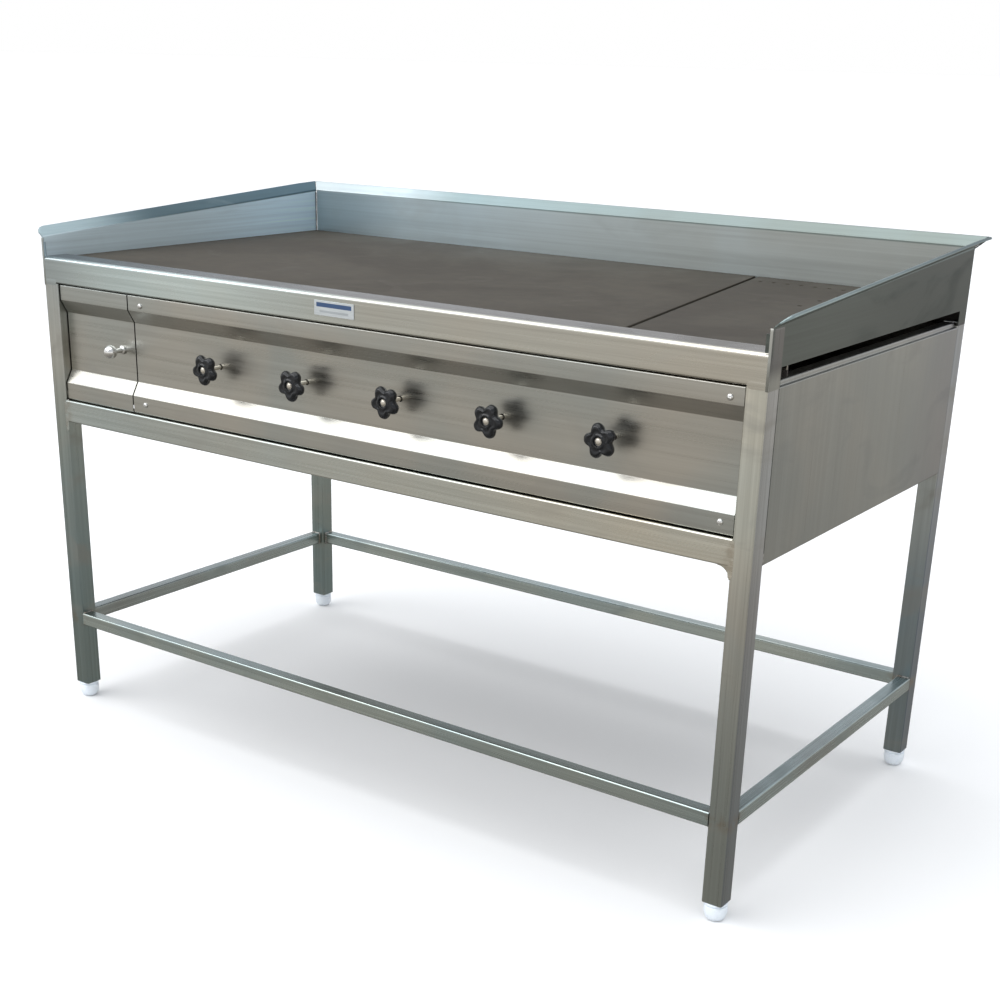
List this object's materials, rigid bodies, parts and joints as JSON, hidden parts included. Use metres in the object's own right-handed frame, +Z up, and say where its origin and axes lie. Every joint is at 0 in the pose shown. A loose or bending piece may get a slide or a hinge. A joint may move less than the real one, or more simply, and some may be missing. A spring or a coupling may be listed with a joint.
{
  "type": "flat top griddle",
  "caption": "Free-standing gas flat top griddle on a square-tube stand, with a three-sided flared splash guard, star valve knobs and a pull-out drip drawer.",
  "frame": {"origin": "on the floor under the middle of the bounding box", "axes": "+X to the right as a cook at the controls sees it, +Y from the controls to the rear guard, +Z up"},
  "size_m": [1.54, 0.818, 0.9891],
  "materials": {
    "frame_steel": "satin brushed",
    "panel_steel": "brushed",
    "guard_steel": "brushed",
    "plate_steel": "seasoned, matt",
    "inner_steel": "mill",
    "screw_steel": "bright",
    "label_aluminium": "satin",
    "black_bakelite": "gloss",
    "brass": "machined",
    "burner_iron": "rough",
    "gas_pipe": "galvanised",
    "white_nylon": "moulded"
  },
  "bodies": {
    "stand": {"leg_front_left": "frame_steel", "leg_front_right": "frame_steel", "leg_rear_left": "frame_steel", "leg_rear_right": "frame_steel", "foot_front_left": "white_nylon", "foot_front_right": "white_nylon", "foot_rear_left": "white_nylon", "foot_rear_right": "white_nylon", "stretcher_front": "frame_steel", "stretcher_rear": "frame_steel", "stretcher_left": "frame_steel", "stretcher_right": "frame_steel", "front_lower_rail": "frame_steel", "front_fascia": "frame_steel", "side_panel_left": "panel_steel", "side_panel_right": "panel_steel", "rear_panel": "inner_steel", "floor_pan": "inner_steel", "drawer_partition": "inner_steel", "drawer_runner_left": "inner_steel", "guard_left": "guard_steel", "guard_right": "guard_steel", "guard_rear": "guard_steel", "griddle_plate_main": "plate_steel", "griddle_plate_right": "plate_steel", "plate_frame": "inner_steel", "drain_gutter": "inner_steel", "control_panel": "panel_steel", "panel_screw_1": "screw_steel", "panel_screw_2": "screw_steel", "panel_screw_3": "screw_steel", "panel_screw_4": "screw_steel", "nameplate": "label_aluminium", "gas_manifold": "gas_pipe", "gas_inlet_union": "brass", "burner_rest_front": "inner_steel", "burner_rest_rear": "inner_steel", "valve_body_1": "brass", "valve_body_2": "brass", "valve_body_3": "brass", "valve_body_4": "brass", "valve_body_5": "brass", "burner_1": "burner_iron", "burner_2": "burner_iron", "burner_3": "burner_iron", "burner_4": "burner_iron", "burner_5": "burner_iron"},
    "knob_1": {"star_knob_1": "black_bakelite", "valve_spindle_1": "brass"},
    "knob_2": {"star_knob_2": "black_bakelite", "valve_spindle_2": "brass"},
    "knob_3": {"star_knob_3": "black_bakelite", "valve_spindle_3": "brass"},
    "knob_4": {"star_knob_4": "black_bakelite", "valve_spindle_4": "brass"},
    "knob_5": {"star_knob_5": "black_bakelite", "valve_spindle_5": "brass"},
    "drawer": {"drawer_front": "panel_steel", "drawer_tray": "inner_steel", "drawer_knob": "screw_steel"}
  },
  "joints": [
    {"name": "valve_turn_1", "type": "hinge", "parent": "stand", "child": "knob_1", "pos_m": [-0.313, -0.401, 0.735], "axis": [0, -1, 0], "range_deg": [0, 270]},
    {"name": "valve_turn_2", "type": "hinge", "parent": "stand", "child": "knob_2", "pos_m": [-0.11, -0.401, 0.735], "axis": [0, -1, 0], "range_deg": [0, 270]},
    {"name": "valve_turn_3", "type": "hinge", "parent": "stand", "child": "knob_3", "pos_m": [0.093, -0.401, 0.735], "axis": [0, -1, 0], "range_deg": [0, 270]},
    {"name": "valve_turn_4", "type": "hinge", "parent": "stand", "child": "knob_4", "pos_m": [0.296, -0.401, 0.735], "axis": [0, -1, 0], "range_deg": [0, 270]},
    {"name": "valve_turn_5", "type": "hinge", "parent": "stand", "child": "knob_5", "pos_m": [0.499, -0.401, 0.735], "axis": [0, -1, 0], "range_deg": [0, 270]},
    {"name": "drawer_slide", "type": "slide", "parent": "stand", "child": "drawer", "axis": [0, -1, 0], "range_m": [0, 0.5]}
  ]
}
